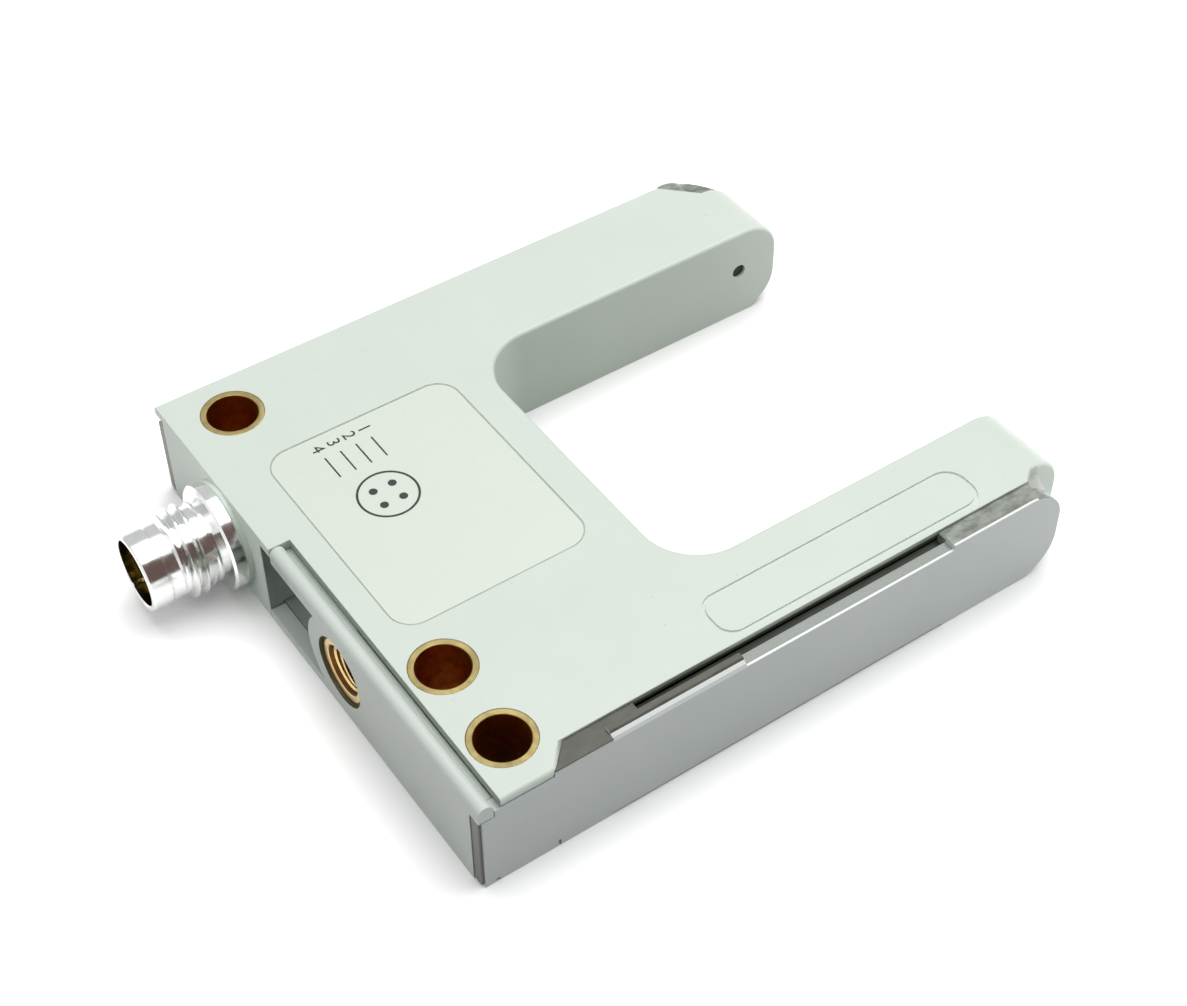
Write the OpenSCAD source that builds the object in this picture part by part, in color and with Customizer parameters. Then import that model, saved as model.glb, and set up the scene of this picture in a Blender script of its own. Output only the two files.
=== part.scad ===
// Fork sensor: a flat light-barrier housing with two arms, a round plug and brass fixing bushes.
// Millimetres, +Z up. The origin is midway between the two outer fixing holes, on the underside.
// The arms point to +Y and the plug to -Y.

/* [Body] */
// Overall width across both arms
body_w = 50; // [47:0.5:60]
// Thickness of the body
body_t = 9.5; // [9.5:0.25:13]
// Clear width between the arms
fork_gap = 30; // [26:0.5:31]
// Clear depth of the fork, from its root to the tips
fork_depth = 33.2; // [26:0.2:45]
// Depth of the bridge, from the back face to the fork's root
bridge_l = 25; // [22:0.5:32]
// Radius of the two corners at the fork's root
root_r = 5; // [2:0.5:8]
// Rounding of the arm tips, seen from the side
nose_r = 3.5; // [2:0.25:4]
// Thickness of the fork's inner wall
wall = 1.4; // [1:0.1:1.8]
// Thickness of the top plate
top_t = 0.9; // [0.7:0.1:1.4]
// Thickness of the bottom cover
bottom_t = 1; // [0.7:0.1:1.3]
// Clearance between pieces that slot together
fit = 0.1; // [0.05:0.01:0.15]

/* [Side covers] */
// Thickness of a side cover
side_t = 1.1; // [0.8:0.1:1.3]
// Width of the open joint along the right arm
joint_w = 0.9; // [0.6:0.1:1.2]
// Distance that the side covers stop short of the arm tips
cover_short = 2.4; // [1.5:0.1:3]
// Rounding of a side cover's tip, seen from the side
cover_nose_r = 3.7; // [2:0.1:4.2]
// Length of the ear that the top plate lays over the right cover
ear_l = 6.5; // [4:0.5:9]
// Start of the raised rear tab, from the back face
rear_tab_start = 11.6; // [10:0.2:14]
// End of the raised rear tab, from the back face
rear_tab_end = 23.7; // [18:0.1:30]
// Start of the raised front tab, from the back face
front_tab_start = 44; // [36:0.5:47]
// Drop of the edge between the two tabs
tab_drop = 0.5; // [0.2:0.1:0.8]
// Chamfer along the rear tab
tab_chamfer = 0.6; // [0.2:0.1:0.8]
// Relief under the middle of a side cover
foot_relief = 0.25; // [0.1:0.05:0.5]
// Height of the longer of two nicks in a side cover's lower edge
nick_h = 0.7; // [0.4:0.1:1]
// Drop of the sealing compound below the top face, where it fills the joint
seal_drop = 0.25; // [0.15:0.05:0.3]
// Drop of the right cover's edge behind the rear tab, under the compound
rear_drop = 0.4; // [0.35:0.05:0.6]
// Depth of the open slot, where the compound lies deep
slot_depth = 2.6; // [1.5:0.1:4]

/* [Arm tips] */
// Distance from the outer face to the notch at a tip
notch_w = 2.95; // [2.5:0.05:3.5]
// Distance from the arm tips back to the notch's inner corner
notch_l = 3.55; // [2.8:0.05:4]

/* [Fixing holes] */
// Distance from the back face to the fixing holes
hole_back = 5; // [4.6:0.1:6]
// Distance from a side face to the outer fixing holes
hole_edge = 4.5; // [4.5:0.1:6]
// Distance from the right hole to the extra hole beside it
hole_pitch = 8; // [7.2:0.1:8.5]
// Clear bore of a bush
bush_bore = 4.3; // [3.4:0.1:4.5]
// Outer diameter of a bush
bush_d = 5.4; // [5:0.1:5.6]
// Wall of the boss round a bush
boss_wall = 0.6; // [0.4:0.1:0.7]

/* [Rear] */
// Distance from the left face to the end of the rear cover
rear_split = 19.8; // [18.5:0.1:21]
// Thickness of the rear wall and of the rounded lip
rear_t = 1.3; // [1:0.1:1.5]
// Width of the groove between the lip and the top plate
lip_groove = 0.6; // [0.3:0.1:0.9]
// Height of the rounded lip
lip_h = 1.5; // [1.4:0.1:2]
// Distance from the left face to the pocket beside the plug
pocket_edge = 18.2; // [17:0.1:18.4]
// Depth of the pocket beside the plug
pocket_l = 2.8; // [2:0.1:4]
// Distance from the right face to the threaded insert's axis
insert_edge = 20; // [19.5:0.1:21]
// Outer diameter of the threaded insert
insert_d = 5.2; // [4.6:0.1:5.4]
// Bore of the threaded insert, the core hole of an M4 thread
insert_bore = 3.3; // [2.5:0.1:3.4]
// Length of the threaded insert
insert_l = 5.5; // [4:0.5:7]
// Diameter of the recess in front of the insert
recess_d = 6.2; // [5.8:0.1:6.6]
// Depth of the recess in front of the insert
recess_l = 0.4; // [0.3:0.1:1.2]
// Width of the dark seal at a rear corner
corner_seal_w = 0.9; // [0.5:0.1:1]
// Depth of a rear corner seal
corner_seal_l = 0.3; // [0.2:0.05:0.5]

/* [Plug] */
// Distance from the left face to the plug's axis
plug_edge = 11.8; // [11:0.1:13]
// Distance from the back face to the end of the plug
plug_l = 8.4; // [7.6:0.1:10]
// Crest diameter of the plug's M8 thread
thread_d = 7.8; // [7:0.1:8]
// Length of the thread
thread_l = 2.4; // [2:0.1:3.2]
// Length of the lead-in cone at the thread's end
thread_lead = 0.4; // [0.2:0.1:0.8]
// Diameter of the smooth sleeve in front of the thread
sleeve_d = 6.8; // [6.4:0.1:6.9]
// Inner diameter of the sleeve
socket_d = 5.8; // [5.6:0.1:6]
// Diameter of the flange
flange_d = 9.3; // [8.4:0.1:9.4]
// Thickness of the flange
flange_t = 1.3; // [0.8:0.1:1.6]
// Height of the collar that carries the flange
collar_h = 0.4; // [0.2:0.1:0.6]
// Length of the undercut between flange and thread
undercut_l = 0.9; // [0.6:0.1:1.2]
// Diameter of the shank inside the housing
shank_d = 6; // [5.6:0.1:6.4]
// Diameter of a contact pin
pin_d = 1; // [0.8:0.05:1.1]
// Radius of the circle that the contacts lie on
pin_circle_r = 1.45; // [1.35:0.05:1.55]
// Distance that the contacts stay back from the sleeve's end
pin_setback = 1.2; // [0.6:0.1:2]

/* [Optics] */
// Distance from the arm tips back to the light beam
beam_back = 4.3; // [3.8:0.1:5]
// Height of the light beam
beam_z = 5.1; // [4.8:0.1:5.6]
// Diameter of an aperture in the inner wall
aperture_d = 1.4; // [1:0.1:1.8]
// Depth of a window below the inner wall
window_drop = 0.25; // [0.1:0.05:0.5]

/* [Board] */
// Height of the circuit board's underside
board_z = 2.4; // [2.3:0.05:2.5]
// Thickness of the circuit board
board_t = 1; // [0.8:0.1:1]
// Distance from the back face to the circuit board
board_back = 10; // [9.6:0.1:11]
// Width of the circuit board along an arm
board_arm_w = 3.3; // [2.8:0.1:3.5]

/* [Label] */
// Width of the label across the body
label_w = 22.3; // [16:0.1:24]
// Length of the label along the body
label_l = 17.7; // [12:0.1:17.8]
// Distance from the left face to the label
label_edge = 10.8; // [10:0.1:12]
// Distance from the back face to the label
label_back = 4.15; // [3:0.05:4.2]
// Corner radius of the label
label_r = 2.2; // [1:0.1:4]
// Thickness of the label foil
label_t = 0.1; // [0.05:0.01:0.2]
// Length of the pill outline on the right arm
pill_l = 25.9; // [18:0.1:26]
// Width of the pill outline
pill_w = 4.4; // [3.6:0.1:4.8]
// Distance from the back face to the pill outline
pill_back = 23.7; // [23:0.1:26]
// Distance from the top plate's edge to the pill outline
pill_edge = 0.5; // [0.4:0.1:0.8]
// Width of the pill outline's groove
pill_line = 0.3; // [0.2:0.05:0.5]
// Depth of the pill outline's groove
pill_depth = 0.15; // [0.05:0.05:0.3]

/* [Hidden] */
$fn = 64;
// Overlap that keeps cuts clean
eps = 0.01;
body_l = bridge_l + fork_depth;
half_w = body_w / 2;
half_gap = fork_gap / 2;
mid_z = body_t / 2;
top_under = body_t - top_t;

// Inner face of the side covers, and of the space between them
side_in = half_w - side_t;
cover_tip = body_l - cover_short;
// Edge of the top plate along the right arm, and the slope that leads to it from the ear
edge_x = side_in - joint_w;
ear_slant = half_w - edge_x;
ear_end = ear_l + ear_slant;
notch_x = half_w - notch_w;
notch_y = body_l - notch_l;
// The hollow arms end where the solid tips begin
tip_l = 6.2;
arm_end = body_l - tip_l;
// Start of the open slot, ahead of the rear tab's, and the depth of the compound below its floor
slot_lead = 3;
slot_start = rear_tab_start + slot_lead;
seal_depth = 1;
seal_top = body_t - seal_drop;
// End of the compound beside the notch at a tip, short of the side cover's tip
seal_short = 1.9;
seal_end = cover_tip - seal_short;
// Nicks in a side cover's lower edge: distance from the back face, width and height
nicks = [[1.2, 0.35, nick_h / 2], [6.7, 0.2, nick_h]];

hole_x = half_w - hole_edge;
bush_spots = [-hole_x, hole_x - hole_pitch, hole_x];
boss_r = bush_d / 2 + boss_wall;

rear_x = rear_split - half_w;
pocket_x = pocket_edge - half_w;
plate_back = rear_t + lip_groove;
pocket_wall = 1;
insert_x = half_w - insert_edge;
insert_rim = 0.3;
insert_boss_r = recess_d / 2 + insert_rim;
insert_floor = 1;
seal_back = 0.05;

plug_x = plug_edge - half_w;
// Places along the plug's axis, counted outwards from the back face
flange_end = collar_h + flange_t;
thread_start = flange_end + undercut_l;
thread_end = thread_start + thread_l;
socket_floor = thread_start;
undercut_h = 0.2;
undercut_r = sleeve_d / 2 - undercut_h;
collar_r = flange_d / 2 - fit;
shank_wall = 0.6;
insulator_r = shank_d / 2 - shank_wall;
plug_block_l = 6;
insulator_back = plug_block_l + shank_wall;
// Key rib in the socket: its width, turn about the axis and length
key_w = 0.8;
key_turn = -20;
key_l = plug_l - socket_floor - pin_setback;
// The four contacts, as signs of their offsets across and up
contact_signs = [[-1, 1], [1, 1], [-1, -1], [1, -1]];
pin_step = pin_circle_r * sin(45);
tail_r = 0.3;
// Places of the lower and the upper row of solder tails on the board
tail_inset = 1;
tail_pitch = 2;
tail_rows = [board_back + tail_inset, board_back + tail_inset + tail_pitch];

board_top = board_z + board_t;
board_margin = 0.5;
board_arm_x = half_gap + wall + board_margin;
beam_y = body_l - beam_back;
// The board runs past the light beam
board_over = 1.5;
board_end = beam_y + board_over;
board_half = side_in - 1;
// Bay in a solid tip, with room past the board's end and under it
bay_room = 0.2;
bay_drop = 0.3;
bay_w = board_arm_w + 2 * board_margin - fit;
bay_end = board_end + bay_room;
bay_floor = board_z - bay_drop;
// Optical element on the board: width, thickness, gap to the inner wall and rise above the beam
led_w = 2.6;
led_t = 1.8;
led_gap = 0.7;
led_rise = 1.6;
led_x = half_gap + wall + led_gap;
led_top = beam_z + led_rise;
lens_r = 0.9;
// Posts of the bottom cover under the board, set in from its rear edge and from the solid tips
post_r = 1.1;
post_rear = 2.5;
post_front = 6;
post_ys = [board_back + post_rear, arm_end - post_front];
// Sizes of the two chips on the board, and the driver's place across it
chip_size = [5, 5, 1.2];
driver_size = [4, 3, 1.4];
driver_x = 9;
chip_inset = 4;
chip_y = board_back + chip_inset;
pill_r = pill_w * 0.4;

// Distance from the back face to the slanted edge of a notch
function notch_edge(x) = notch_y + notch_x - x;

// Shifts pieces drawn from the back face to the part's origin
module from_back() {
    translate([0, -hole_back, 0]) children();
}

// Extrudes a Y-Z outline along X
module along_x(x0, x1) {
    translate([x0, 0, 0]) rotate([90, 0, 90]) linear_extrude(x1 - x0) children();
}

// Extrudes an X-Z outline from y0 towards +Y
module along_y(y0, y1) {
    translate([0, y1, 0]) rotate([90, 0, 0]) linear_extrude(y1 - y0) children();
}

// Turns an outline of radius and height about an axis that leaves the back face
module about_plug_axis() {
    translate([plug_x, 0, mid_z]) rotate([90, 0, 0]) children();
}

module rounded_rect(w, l, r) {
    translate([r, 0]) square([w - 2 * r, l]);
    translate([0, r]) square([w, l - 2 * r]);
    for (x = [r, w - r], y = [r, l - r])
        translate([x, y]) circle(r);
}

// The fork's gap with its rounded root, grown by a wall on every side
module gap_plan(grow = 0) {
    r = root_r + grow;
    w = fork_gap + 2 * grow;
    y = bridge_l - grow;
    translate([-w / 2, y + r]) square([w, body_l]);
    translate([r - w / 2, y]) square([w - 2 * r, r + eps]);
    for (s = [-1, 1])
        translate([s * (w / 2 - r), y + r]) circle(r);
}

// Side view of an arm that ends in a rounded tip
module arm_profile(tip, r) {
    square([tip - r, body_t]);
    translate([tip - r - eps, r]) square([r + eps, body_t - 2 * r]);
    for (z = [r, body_t - r])
        translate([tip - r, z]) circle(r);
}

// Outline of the top plate: an ear over the right cover, a notch at each tip, a step for the lip
module plate_plan() {
    difference() {
        polygon([
            [-half_w, 0], [rear_x, 0], [rear_x, plate_back], [half_w, plate_back],
            [half_w, ear_l], [edge_x, ear_end],
            [edge_x, notch_edge(edge_x)], [notch_x, notch_y], [notch_x, body_l],
            [-notch_x, body_l], [-notch_x, notch_y], [-half_w, notch_edge(half_w)]
        ]);
        gap_plan();
    }
}

module bush_holes(r) {
    for (x = bush_spots)
        translate([x, hole_back, -eps]) cylinder(h = body_t + 2 * eps, r = r);
}

// Bosses round the bushes, cut flat where the rear cover closes them in
module bosses(grow = 0) {
    intersection() {
        for (x = bush_spots)
            translate([x, hole_back, bottom_t]) cylinder(h = top_under - bottom_t, r = boss_r + grow);
        translate([-half_w, plate_back + fit - grow, 0]) cube([body_w, body_l, body_t]);
    }
}

// Everything of the housing below the top plate: the fork's inner wall and the solid arm tips
module fork_wall() {
    difference() {
        intersection() {
            linear_extrude(top_under) difference() {
                union() {
                    gap_plan(wall);
                    for (s = [-1, 1])
                        translate([s > 0 ? half_gap : -side_in, arm_end])
                            square([side_in - half_gap, body_l]);
                }
                gap_plan();
            }
            union() {
                along_x(-notch_x, notch_x) arm_profile(body_l, nose_r);
                along_x(-side_in, side_in) arm_profile(cover_tip, cover_nose_r);
            }
        }
        for (s = [-1, 1]) {
            // Bay for the light source or the receiver
            translate([s > 0 ? half_gap + wall : -half_gap - wall - bay_w, arm_end - eps, bay_floor])
                cube([bay_w, bay_end - arm_end, top_under]);
            translate([s * half_gap, beam_y, beam_z]) rotate([0, 90, 0])
                cylinder(h = 4 * wall, d = aperture_d, center = true);
        }
    }
}

// Rear wall left of the rear cover, with the block and the collar that hold the plug
module plug_wall() {
    wall_x = -side_in + fit;
    block_x = plug_x - flange_d / 2 - fit;
    along_y(0, rear_t) translate([wall_x, 0]) square([pocket_x - wall_x, top_under]);
    translate([block_x, 0, bottom_t])
        cube([pocket_x - block_x, plug_block_l, top_under - bottom_t]);
    about_plug_axis() cylinder(h = collar_h, r = collar_r);
}

module housing() {
    color([0.86, 0.9, 0.86]) from_back() difference() {
        union() {
            intersection() {
                translate([0, 0, top_under]) linear_extrude(top_t) plate_plan();
                along_x(-half_w, half_w) arm_profile(body_l, nose_r);
            }
            fork_wall();
            plug_wall();
            bosses();
        }
        bush_holes(bush_d / 2);
        about_plug_axis() translate([0, 0, -plug_block_l - eps])
            cylinder(h = plug_block_l + collar_h + 2 * eps, d = shank_d + fit);
        translate([label_edge - half_w, label_back, body_t - label_t])
            linear_extrude(1) rounded_rect(label_w, label_l, label_r);
        translate([edge_x - pill_edge - pill_w, pill_back, body_t - pill_depth])
            linear_extrude(1) pill_ring();
    }
}

// Shallow outline of a bare name field
module pill_ring() {
    difference() {
        rounded_rect(pill_w, pill_l, pill_r);
        translate([pill_line, pill_line])
            rounded_rect(pill_w - 2 * pill_line, pill_l - 2 * pill_line, pill_r - pill_line);
    }
}

module bottom_cover() {
    color([0.8, 0.84, 0.82]) from_back() difference() {
        union() {
            linear_extrude(bottom_t) difference() {
                translate([-side_in + fit, rear_t + fit])
                    square([2 * (side_in - fit), arm_end - rear_t - 2 * fit]);
                gap_plan(wall + fit);
            }
            for (s = [-1, 1], y = post_ys)
                translate([s * (board_arm_x + board_arm_w / 2), y, 0]) cylinder(h = board_z, r = post_r);
        }
        bush_holes(bush_d / 2 + fit);
    }
}

// Outer wall of an arm, drawn for the right side
module side_plate() {
    along_x(side_in, half_w) difference() {
        arm_profile(cover_tip, cover_nose_r);
        translate([-eps, -eps]) square([corner_seal_l + eps, body_t + 2 * eps]);
        translate([rear_tab_start, -eps]) square([front_tab_start - rear_tab_start, foot_relief + eps]);
        for (n = nicks)
            translate([n[0], -eps]) square([n[1], n[2] + eps]);
    }
}

module side_cover_right() {
    color([0.7, 0.73, 0.74]) from_back() difference() {
        side_plate();
        // Room under the lip, the ear and the dropped edge between the tabs
        translate([side_in - eps, -eps, body_t - lip_h - fit]) cube([side_t + 1, rear_t + fit, body_t]);
        translate([0, 0, top_under]) linear_extrude(body_t)
            polygon([[edge_x, 0], [half_w, 0], [half_w, ear_l], [edge_x, ear_end]]);
        translate([side_in - eps, 0, body_t - rear_drop]) cube([side_t + 1, rear_tab_start, body_t]);
        translate([side_in - eps, rear_tab_end, body_t - tab_drop])
            cube([side_t + 1, front_tab_start - rear_tab_end, body_t]);
        translate([half_w, rear_tab_start, body_t - tab_chamfer]) rotate([0, -45, 0])
            cube([2 * side_t, rear_tab_end - rear_tab_start, 2 * side_t]);
    }
}

module side_cover_left() {
    color([0.7, 0.73, 0.74]) from_back() difference() {
        mirror([1, 0, 0]) side_plate();
        translate([0, 0, top_under]) linear_extrude(body_t) plate_plan();
    }
}

// Rear wall with a rounded lip, a round end about the insert and a pocket beside the plug
module rear_cover() {
    left = pocket_x + fit;
    right = side_in - fit;
    lip_under = body_t - lip_h;
    inner_top = top_under - fit;
    color([0.8, 0.83, 0.82]) from_back() difference() {
        union() {
            along_y(0, rear_t) {
                intersection() {
                    translate([insert_x, mid_z]) circle(mid_z);
                    translate([insert_x - mid_z, 0]) square([body_t, lip_under + eps]);
                }
                translate([insert_x, 0]) square([right - insert_x, lip_under + eps]);
                translate([left, 0]) square([insert_x - left, bottom_t]);
            }
            // The lip, rounded along its top
            along_x(rear_x + fit, half_w) {
                translate([rear_t / 2, body_t - rear_t / 2]) circle(rear_t / 2);
                translate([0, lip_under]) square([rear_t, lip_h - rear_t / 2]);
            }
            // Floor of the groove behind the lip, and the pocket's roof and back
            translate([insert_x, rear_t - eps, bottom_t])
                cube([right - insert_x, plate_back - rear_t, inner_top - bottom_t]);
            translate([left, rear_t - eps, lip_under])
                cube([insert_x - left, pocket_l + pocket_wall - rear_t, inner_top - lip_under]);
            translate([left, pocket_l, bottom_t])
                cube([insert_x - left, pocket_wall, inner_top - bottom_t]);
            translate([insert_x, 0, mid_z]) rotate([-90, 0, 0])
                cylinder(h = recess_l + insert_l + insert_floor, r = insert_boss_r);
        }
        bosses(fit);
        translate([insert_x, -eps, mid_z]) rotate([-90, 0, 0]) {
            cylinder(h = recess_l + eps, d = recess_d);
            cylinder(h = recess_l + insert_l + eps, d = insert_d);
        }
    }
}

// Compound on the step beside a tip's notch, drawn for the right arm, from given corners to its end
module tip_seal(corners) {
    intersection() {
        translate([0, 0, top_under]) linear_extrude(seal_top - top_under)
            polygon(concat(corners, [[side_in, seal_end], [notch_y + notch_x - seal_end, seal_end]]));
        along_x(notch_x, side_in) arm_profile(cover_tip, cover_nose_r);
    }
}

// Compound in the open joint of the right arm, lying deep between its two filled ends
module joint_seal() {
    deep = body_t - slot_depth;
    foot = deep - seal_depth;
    film = body_t - rear_drop;
    color([0.4, 0.4, 0.36]) from_back() {
        along_x(edge_x, side_in) {
            translate([ear_end, foot]) square([arm_end - ear_end, deep - foot]);
            translate([ear_end, foot]) square([slot_start - ear_end, seal_top - foot]);
            translate([front_tab_start, foot]) square([arm_end - front_tab_start, seal_top - foot]);
        }
        // Film over the right cover's edge, from the ear to the rear tab
        translate([0, 0, film]) linear_extrude(seal_top - film)
            polygon([[edge_x, ear_end], [half_w, ear_l], [half_w, rear_tab_start], [edge_x, rear_tab_start]]);
        tip_seal([[edge_x, notch_edge(edge_x)], [edge_x, arm_end - eps], [side_in, arm_end - eps]]);
    }
}

module tip_seal_left() {
    color([0.4, 0.4, 0.36]) from_back() mirror([1, 0, 0]) tip_seal([[side_in, notch_edge(side_in)]]);
}

// Dark strip between the rear wall and a side cover
module corner_seal() {
    translate([side_in, seal_back, foot_relief])
        cube([corner_seal_w, corner_seal_l - seal_back, body_t - lip_h - fit - foot_relief]);
}

module corner_seal_right() {
    color([0.42, 0.42, 0.38]) from_back() corner_seal();
}

module corner_seal_left() {
    color([0.42, 0.42, 0.38]) from_back() mirror([1, 0, 0]) corner_seal();
}

module label_foil() {
    color([0.9, 0.93, 0.88]) from_back()
        translate([label_edge - half_w + fit / 2, label_back + fit / 2, body_t - label_t])
            linear_extrude(label_t) rounded_rect(label_w - fit, label_l - fit, label_r - fit / 2);
}

module mount_bush(spot) {
    color([0.72, 0.58, 0.3]) translate([bush_spots[spot], 0, 0]) difference() {
        cylinder(h = body_t, d = bush_d);
        translate([0, 0, -eps]) cylinder(h = body_t + 2 * eps, d = bush_bore);
    }
}

module threaded_insert() {
    color([0.75, 0.58, 0.25]) from_back() translate([insert_x, recess_l, mid_z]) rotate([-90, 0, 0])
        difference() {
            cylinder(h = insert_l, d = insert_d);
            translate([0, 0, -eps]) cylinder(h = insert_l + 2 * eps, d = insert_bore);
        }
}

// Turned metal shell: shank, flange, undercut, thread and sleeve
module plug_shell() {
    color([0.82, 0.83, 0.84]) from_back() about_plug_axis() rotate_extrude() difference() {
        union() {
            translate([0, -plug_block_l]) square([shank_d / 2, plug_block_l + collar_h]);
            translate([0, collar_h]) square([flange_d / 2, flange_t]);
            translate([0, flange_end]) square([undercut_r, undercut_l]);
            polygon([
                [0, thread_start], [thread_d / 2, thread_start], [thread_d / 2, thread_end - thread_lead],
                [sleeve_d / 2, thread_end], [0, thread_end]
            ]);
            translate([0, thread_end]) square([sleeve_d / 2, plug_l - thread_end]);
        }
        translate([0, -plug_block_l - eps]) square([insulator_r, plug_block_l + plug_l]);
        translate([0, socket_floor]) square([socket_d / 2, plug_l]);
    }
}

// Insulating body with a key rib in the socket
module plug_insulator() {
    color([0.12, 0.12, 0.12]) from_back() about_plug_axis() difference() {
        union() {
            translate([0, 0, -insulator_back])
                cylinder(h = insulator_back + socket_floor, r = insulator_r - fit / 5);
            intersection() {
                translate([0, 0, socket_floor]) cylinder(h = key_l, r = socket_d / 2 - fit / 2);
                rotate([0, 0, key_turn]) translate([0, -key_w / 2, socket_floor - key_w])
                    cube([socket_d, key_w, key_l + 2 * key_w]);
                difference() {
                    cylinder(h = plug_l, d = socket_d);
                    cylinder(h = plug_l, r = insulator_r - key_w);
                }
            }
        }
        for (c = contact_signs)
            translate([c[0] * pin_step, c[1] * pin_step, -insulator_back - eps])
                cylinder(h = insulator_back + plug_l, d = pin_d + fit / 2);
    }
}

// A pin whose tail bends down onto the circuit board
module contact(i) {
    c = contact_signs[i];
    pin_z = mid_z + c[1] * pin_step;
    tail_y = tail_rows[c[1] > 0 ? 1 : 0];
    color([0.83, 0.68, 0.33]) from_back() translate([plug_x + c[0] * pin_step, 0, 0]) {
        translate([0, pin_setback - plug_l, pin_z]) rotate([-90, 0, 0])
            cylinder(h = plug_l - pin_setback + insulator_back, d = pin_d);
        translate([0, insulator_back - eps, pin_z]) rotate([-90, 0, 0])
            cylinder(h = tail_y - insulator_back + eps, r = tail_r);
        translate([0, tail_y, pin_z]) sphere(tail_r);
        translate([0, tail_y, board_top]) cylinder(h = pin_z - board_top, r = tail_r);
    }
}

// Small window at the bottom of an aperture, drawn for the right arm
module window() {
    translate([half_gap + window_drop, beam_y, beam_z]) rotate([0, 90, 0])
        cylinder(h = wall - window_drop, d = aperture_d - fit / 2);
}

module receiver_window() {
    color([0.1, 0.1, 0.1]) from_back() window();
}

module emitter_window() {
    color([0.1, 0.1, 0.1]) from_back() mirror([1, 0, 0]) window();
}

// Optical element with a domed lens, drawn for the right arm
module optic() {
    translate([led_x, beam_y - led_w / 2, board_top]) cube([led_t, led_w, led_top - board_top]);
    intersection() {
        translate([led_x + lens_r / 2, beam_y, beam_z]) sphere(lens_r);
        cube([led_x + lens_r / 2, body_l, body_t]);
    }
}

module receiver() {
    color([0.15, 0.15, 0.17]) from_back() optic();
}

module emitter() {
    color([0.8, 0.82, 0.9]) from_back() mirror([1, 0, 0]) optic();
}

module circuit_board() {
    bridge_end = bridge_l - wall - board_margin;
    color([0.1, 0.4, 0.2]) from_back() translate([0, 0, board_z]) linear_extrude(board_t) {
        translate([-board_half, board_back]) square([2 * board_half, bridge_end - board_back]);
        for (s = [-1, 1])
            translate([s > 0 ? board_arm_x : -board_arm_x - board_arm_w, board_back])
                square([board_arm_w, board_end - board_back]);
    }
}

module control_chip() {
    color([0.12, 0.12, 0.13]) from_back() translate([0, chip_y, board_top]) cube(chip_size);
}

module output_driver() {
    color([0.12, 0.12, 0.13]) from_back() translate([driver_x, chip_y, board_top]) cube(driver_size);
}

housing();
bottom_cover();
side_cover_right();
side_cover_left();
rear_cover();
joint_seal();
tip_seal_left();
corner_seal_right();
corner_seal_left();
label_foil();
mount_bush(0);  // mount_bush_left
mount_bush(1);  // mount_bush_middle
mount_bush(2);  // mount_bush_right
threaded_insert();
plug_shell();
plug_insulator();
contact(0);  // contact_1
contact(1);  // contact_2
contact(2);  // contact_3
contact(3);  // contact_4
emitter_window();
receiver_window();
emitter();
receiver();
circuit_board();
control_chip();
output_driver();
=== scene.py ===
# Fork sensor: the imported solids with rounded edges, threads, sealing compound and moulded finishes.
import math
import bmesh
import bpy
from mathutils import Matrix, Vector


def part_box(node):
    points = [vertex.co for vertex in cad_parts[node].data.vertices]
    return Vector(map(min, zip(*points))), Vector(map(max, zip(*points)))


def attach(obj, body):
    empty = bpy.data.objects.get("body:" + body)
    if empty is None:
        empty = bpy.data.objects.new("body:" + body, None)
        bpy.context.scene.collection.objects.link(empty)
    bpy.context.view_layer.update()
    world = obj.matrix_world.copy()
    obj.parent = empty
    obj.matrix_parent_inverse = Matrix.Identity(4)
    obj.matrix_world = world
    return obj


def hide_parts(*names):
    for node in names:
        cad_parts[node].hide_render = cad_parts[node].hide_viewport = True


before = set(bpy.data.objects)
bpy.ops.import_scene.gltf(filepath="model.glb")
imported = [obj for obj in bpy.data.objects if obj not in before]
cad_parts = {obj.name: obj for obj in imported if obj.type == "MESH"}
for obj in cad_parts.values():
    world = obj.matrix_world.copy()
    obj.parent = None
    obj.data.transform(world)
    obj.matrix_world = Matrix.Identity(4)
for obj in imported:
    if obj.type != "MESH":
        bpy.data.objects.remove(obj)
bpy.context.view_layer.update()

MM = 0.001
BODY = "root"

# Places read from the frame, in metres
housing_low, housing_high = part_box("housing")
TOP = housing_high.z
UNDERSIDE = housing_low.z
plug_low, plug_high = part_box("plug_shell")
PLUG_AXIS = Vector(((plug_low.x + plug_high.x) / 2, 0, (plug_low.z + plug_high.z) / 2))
insert_low, insert_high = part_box("threaded_insert")
INSERT_AXIS = Vector(((insert_low.x + insert_high.x) / 2, 0, (insert_low.z + insert_high.z) / 2))
BACK_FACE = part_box("rear_cover")[0].y
BUSHES = ("mount_bush_left", "mount_bush_middle", "mount_bush_right")
# The joint along the right arm: the top plate's edge and the side cover's inner face
JOINT_X = 23 * MM
COVER_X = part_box("side_cover_right")[0].x
COVER_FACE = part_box("side_cover_right")[1].x
# The top plate's back edge, which the rear cover's lip hides in part
PLATE_BACK = -2 * MM
PLATE_T = 0.95 * MM
# The wall of the pocket beside the plug
POCKET_X = -6.8 * MM
# Where the arms' curved tips begin
NOSE_START = housing_high.y - 3.6 * MM
# How near a face or edge lies to the plane it is looked for in
NEAR = 0.05 * MM
# A normal's least share along an axis for a face that looks that way, and its most for an upright wall
FACING = 0.9
UPRIGHT = 0.1


# Meshes

# The edge attribute that the bevel modifier reads
EDGE_WEIGHT = "bevel_weight_edge"


def centre_of(node):
    low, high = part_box(node)
    return (low + high) / 2


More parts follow.
